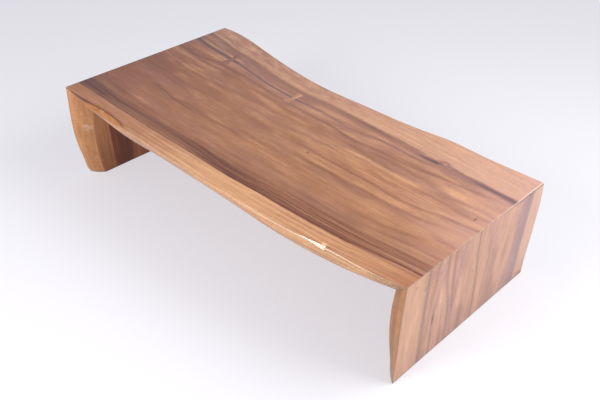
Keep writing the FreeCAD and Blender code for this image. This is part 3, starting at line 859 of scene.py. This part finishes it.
# Figure of the right leg, from its mitre (750) to its foot (1150). Streaks are points, half
# width and strength, and marks are place, half sizes and strength. "sap_level" has two places
# in metres and how pale the sapwood is at each. "gold" is the share of the paler colour in the
# live edge, and "middle" is added to it in the edge's middle.
RIGHT_LEG = {
    "span": (700, 1200),
    "near": ((700, -219), (850, -214), (950, -208), (1050, -200), (1200, -188)),
    "far": ((700, 332), (950, 335), (1060, 340), (1200, 350)),
    "tilt": 0.5,
    "heart": (LEG_ROSE, LEG_TAN),
    "sap": (RIGHT_SAP_NEAR, RIGHT_SAP_FAR),
    "sap_level": (0.75, 1.15, 0.6, 0.6),
    "sap_lines": 0.4,
    "gold": 0.5,
    "middle": -0.2,
    "arris": 0.35,
    "mitre_shade": 0.45,
    "edge": RIGHT_EDGE,
    "wear_and_highlight": 0.05,
    "pale_colour": LEG_PALE,
    "dark_colour": LEG_DARK,
    "dark": (
        (((600, -208), (850, -204), (950, -198), (1050, -190), (1300, -176)), 9, 0.40),
        (((600, -165), (750, -162), (900, -168), (1000, -165), (1100, -160)), 9, 0.27),
        (((600, -125), (750, -117), (850, -105), (950, -80), (1050, -60), (1100, -54),
          (1300, -48)), 7, 0.34),
        (((600, -86), (800, -78), (900, -66), (950, -58), (1000, -46), (1050, -34)), 7, 0.42),
        (((740, -60), (800, -48), (880, -36)), 4, 0.38),
        (((600, 30), (750, 38), (850, 50), (930, 66), (1020, 78), (1090, 86), (1300, 94)),
         5, 0.35),
        (((740, 104), (820, 108), (900, 112)), 7, 0.24),
        (((800, 120), (900, 124), (1000, 128), (1100, 134)), 6, 0.24),
        (((840, 148), (950, 160), (1050, 180), (1300, 200)), 16, 0.27),
        (((1030, -90), (1080, -84), (1200, -80)), 10, 0.34),
        (((1000, 8), (1060, 14), (1200, 20)), 10, 0.35),
        (((900, -148), (1000, -145), (1100, -136), (1300, -130)), 6, 0.41),
        (((600, 30), (850, 40), (1000, 50), (1300, 60)), 60, 0.14),
        (((810, -140), (890, -139), (980, -137)), 9, 0.24),
        (((830, 226), (920, 224), (1010, 222)), 18, 0.16),
        (((1030, 212), (1100, 216), (1250, 218)), 16, 0.24),
        (((990, -48), (1040, -44), (1100, -40)), 6, 0.26),
        (((1070, -164), (1150, -162), (1250, -160)), 9, 0.30),
        (((1000, 160), (1090, 160), (1250, 160)), 20, 0.18),
    ),
    "ink": (
        (((600, -210), (850, -206), (950, -202), (1050, -194), (1300, -180)), 5, 0.34),
        (((900, -86), (1000, -66), (1060, -60), (1120, -52)), 5, 0.36),
        (((600, 316), (850, 320), (1000, 324), (1060, 328), (1300, 340)), 14, 0.54),
        (((600, 290), (850, 294), (1000, 298), (1300, 306)), 24, 0.32),
    ),
    "pale": (
        (((600, -268), (850, -262), (1300, -240)), 12, 0.40),
        (((830, -138), (920, -120), (1050, -108), (1200, -100)), 9, 0.60),
        (((850, -30), (950, -22), (1060, -10)), 9, 0.50),
        (((700, 10), (800, 20), (900, 34), (960, 42)), 14, 0.30),
        (((980, 100), (1080, 108), (1200, 112)), 10, 0.40),
        (((790, 0), (890, 2), (990, 4)), 9, 0.30),
    ),
    "spots": ((781, -263, 6, 5, 0.5), (814, -219, 8, 5, 0.45), (798, -148, 7, 4, 0.35),
              (906, 37, 6, 4, 0.35), (987, -143, 22, 5, 0.5), (1050, -256, 16, 3, 0.25)),
    "brown": ((790, -182, 60, 14, 0.30), (770, -80, 26, 9, 0.55), (1050, -182, 20, 7, 0.35),
              (950, -38, 50, 8, 0.25), (880, -176, 40, 10, 0.30), (1138, 388, 12, 24, 0.90),
              (860, -2, 60, 10, 0.14), (1145, 358, 7, 22, 0.60)),
    # Painted shade of a chamfer at the far corner of the foot
    "corner_shade": ((1149, 338, 5, 30, 0.90), (1148, 394, 8, 20, 0.95)),
    "knots": (),
}

# Figure of the left leg, from its foot (-1150) to its mitre (-750)
LEFT_LEG = {
    "span": (-1200, -700),
    "near": ((-1200, -316), (-1120, -326), (-1040, -334), (-950, -339), (-700, -345)),
    "far": ((-1200, 300), (-950, 296), (-700, 288)),
    "tilt": 1.55,
    "heart": (LEFT_DEEP, LEFT_WARM),
    "sap": (LEFT_SAP, LEFT_SAP),
    "sap_level": (-1.12, -0.92, 0.25, 0.60),
    "sap_lines": 0.3,
    "gold": 0.88,
    "middle": -0.12,
    "arris": 0.0,
    "mitre_shade": 0.0,
    "edge": LEFT_EDGE,
    "wear_and_highlight": 0.5,
    "pale_colour": LEFT_PALE,
    "dark_colour": LEFT_DARK,
    "dark": (
        (((-1300, -304), (-1000, -296), (-700, -290)), 18, 0.38),
        (((-1300, -274), (-1000, -266), (-700, -262)), 5, 0.50),
        (((-1300, -256), (-1000, -250), (-700, -244)), 5, 0.30),
        (((-1300, 40), (-1000, 44), (-700, 60)), 12, 0.30),
    ),
    "ink": (),
    "pale": (
        (((-1300, -240), (-1000, -236), (-700, -230)), 5, 0.30),
        (((-1300, -226), (-1000, -220), (-700, -214)), 16, 0.82),
        (((-1300, -190), (-1000, -184), (-700, -178)), 16, 0.45),
        (((-1300, -60), (-1000, -66), (-700, -70)), 22, 0.30),
        (((-1300, 140), (-1000, 136), (-700, 130)), 18, 0.30),
    ),
    "spots": (),
    "brown": (),
    "corner_shade": (),
    "knots": ((-926, -354, 16, 18, 0.06), (-920, -361, 6, 8, 0.48), (-929, -347, 6, 6, 0.40),
              (-936, -359, 5, 7, 0.22)),
}


# Scales of the grain of small pieces where it runs along y and where it runs across y, and
# the share of them for its broad bands
GRAIN_ALONG_Y = (420.0, 30.0, 420.0)
GRAIN_ACROSS_Y = (60.0, 420.0, 60.0)
BROAD_SHARE = (0.2, 0.2, 0.2)

# Line in each key: how it fades to its sides, and over which length it starts. Then for
# each key its place along the table, its start across it and its colour
LINE_FADE = (0.001, 0.005, 0.85, 0.0)
LINE_START = 0.01
DARK_KEY_LINE = (-0.525, 0.1, rgb(104, 64, 56))
PALE_KEY_LINE = (-0.144, 0.155, rgb(208, 156, 114))

# Scales of the dust in the filler and of the fibres of the felt
DUST_SCALE = (120.0, 260.0, 120.0)
FIBRE_SCALE = (1400.0, 1400.0, 1400.0)


def bumped(g, shader, strength, distance, height):
    """Gives a small piece its bump."""
    bump = g.add("ShaderNodeBump", {"Strength": strength, "Distance": distance, "Height": height})
    g.feed(shader, {"Normal": bump.outputs[0]})


def grain_line(g, colour, middle, start, line_colour):
    """A line of another colour across a key, at one place along the table."""
    x, y, _ = object_place(g)
    away = g.math("ABSOLUTE", g.minus(x, middle))
    mask = g.times(g.ramp(away, *LINE_FADE), g.ramp(y, start, start + LINE_START))
    return g.mix(mask, colour, line_colour)


def small_wood(name, colours, scales, line=None):
    """Wood of a small piece: grain drawn out by scales, and a line of another colour."""
    material, g, shader = new_material(name)
    drawn_out = g.stretch(object_point(g), scales)
    fine = g.noise(drawn_out, 4.0, 0.6)
    broad = g.noise(g.stretch(drawn_out, BROAD_SHARE), 3.0)
    share = g.plus(g.ramp(fine, 0.3, 0.7, 0.0, 0.55), g.ramp(broad, 0.3, 0.7, 0.0, 0.45))
    colour = g.mix(share, *colours)
    if line:
        colour = grain_line(g, colour, *line)
    g.feed(shader, {"Base Color": colour, "Roughness": g.scaled(fine, 0.16, 0.30)})
    bumped(g, shader, BUMP_STRENGTH, BUMP_HEIGHT, fine)
    return material


def filler():
    """Dark filler of the crack, with paler dust in it."""
    material, g, shader = new_material("fill")
    dust = g.noise(g.stretch(object_point(g), DUST_SCALE), 4.0, 0.65)
    colour = g.mix(g.ramp(dust, 0.35, 0.75), *FILL)
    g.feed(shader, {"Base Color": colour, "Roughness": g.scaled(dust, 0.3, 0.2)})
    bumped(g, shader, 0.3, 0.0003, dust)
    return material


def felt_material():
    """Pressed felt of the foot pads: matted short fibres."""
    material, g, shader = new_material("felt")
    fibres = g.noise(g.stretch(object_point(g), FIBRE_SCALE), 3.0, 0.7, 2.0)
    colour = g.mix(g.ramp(fibres, 0.3, 0.7), *FELT)
    rough = g.ramp(fibres, 0.2, 0.8, 0.85, 1.0)
    g.feed(shader, {"Base Color": colour, "Roughness": rough, "Sheen Weight": 0.3})
    bumped(g, shader, 0.6, 0.0005, fibres)
    return material


def dress(node, material):
    """Gives a node its material."""
    if not NODES[node].material_slots:
        NODES[node].data.materials.append(material)
    for slot in NODES[node].material_slots:
        slot.material = material


def seen(g):
    """1 for rays that come straight, mirrored or refracted from the camera."""
    path = g.add("ShaderNodeLightPath").outputs
    share = g.math("MAXIMUM", path["Is Camera Ray"], path["Is Glossy Ray"])
    return g.math("MAXIMUM", share, path["Is Transmission Ray"])


# The floor: radius, and from where to where it turns into the pale surroundings
FLOOR_RADIUS = 12.0
FLOOR_FADE = (1.5, 7.0)

# Share of the surroundings' brightness that lights the table
SKY_LIGHT = 0.4


def stage():
    """Pale floor and pale surroundings."""
    bpy.ops.mesh.primitive_circle_add(vertices=96, radius=FLOOR_RADIUS, fill_type="NGON")
    floor = bpy.context.object
    floor.name = "floor"
    material, g, shader = new_material("floor")
    g.feed(shader, {"Base Color": FLOOR, "Roughness": 0.9})
    away = g.add("ShaderNodeVectorMath", {0: object_point(g)}, operation="LENGTH")
    glow = g.add("ShaderNodeEmission", {"Color": FLOOR})
    share = g.times(seen(g), g.ramp(away.outputs["Value"], *FLOOR_FADE, 0.5, 1.0))
    both = g.add("ShaderNodeMixShader", {0: share, 1: shader.outputs[0], 2: glow.outputs[0]})
    g.feed(material.node_tree.nodes["Material Output"], {"Surface": both.outputs[0]})
    floor.data.materials.append(material)
    world = bpy.data.worlds.new("surroundings")
    bpy.context.scene.world = world
    world.use_nodes = True
    g = Graph(world.node_tree)
    strength = g.scaled(seen(g), 1.0 - SKY_LIGHT, SKY_LIGHT)
    g.feed(world.node_tree.nodes["Background"], {"Color": FLOOR, "Strength": strength})


# Soft lights: name, place, what it shines at, size and power in watts
LIGHTS = (
    ("key", (1.9, 0.9, 2.4), (0.4, 0.0, 0.3), (1.8, 1.8), 70.0),
    ("front", (-0.12, -2.83, 2.0), (0.3, -0.3, 0.35), (1.0, 1.0), 65.0),
)


def soft_light(name, place, target, size, power):
    """A rectangular light that shines at a point."""
    data = bpy.data.lights.new(name, "AREA")
    data.shape = "RECTANGLE"
    data.size, data.size_y = size
    data.energy = power
    light = bpy.data.objects.new(name, data)
    light.location = place
    aim = Vector(target) - Vector(place)
    light.rotation_euler = aim.to_track_quat("-Z", "Y").to_euler()
    bpy.context.scene.collection.objects.link(light)


# The camera at the photograph's angle: focal length and sensor in millimetres, place, and
# the directions of its right, its top and its back
LENS = 46.256
SENSOR = 36.0
CAMERA_PLACE = (1.530015, -1.600332, 1.813493)
CAMERA_RIGHT = (0.71255, 0.70023, 0.04427)
CAMERA_UP = (-0.45340, 0.41139, 0.79068)
CAMERA_BACK = (0.53545, -0.58347, 0.61062)


def camera():
    """Camera at the photograph's viewing angle."""
    data = bpy.data.cameras.new("camera")
    data.sensor_width = SENSOR
    data.lens = LENS
    view = bpy.data.objects.new("camera", data)
    columns = (CAMERA_RIGHT, CAMERA_UP, CAMERA_BACK, CAMERA_PLACE)
    view.matrix_world = Matrix((*zip(*columns), (0.0, 0.0, 0.0, 1.0)))
    bpy.context.scene.collection.objects.link(view)
    bpy.context.scene.camera = view


def main():
    """Dresses all the nodes and sets the studio up."""
    dress("top_board", top_material())
    dress("left_leg_board", leg_material("plank_left_leg", -1, LEFT_LEG))
    dress("right_leg_board", leg_material("plank_right_leg", 1, RIGHT_LEG))
    dress("butterfly_key_left", small_wood("dark_key", DARK_KEY, GRAIN_ALONG_Y, DARK_KEY_LINE))
    dress("butterfly_key_right", small_wood("pale_key", PALE_KEY, GRAIN_ALONG_Y, PALE_KEY_LINE))
    dress("crack_fill", filler())
    tenon = small_wood("tenon", TENON, GRAIN_ACROSS_Y)
    felt = felt_material()
    for name in NODES:
        if "tenon" in name:
            dress(name, tenon)
        if "pad" in name:
            dress(name, felt)
    stage()
    for light in LIGHTS:
        soft_light(*light)
    camera()
    bpy.context.scene.view_settings.view_transform = "Standard"


main()
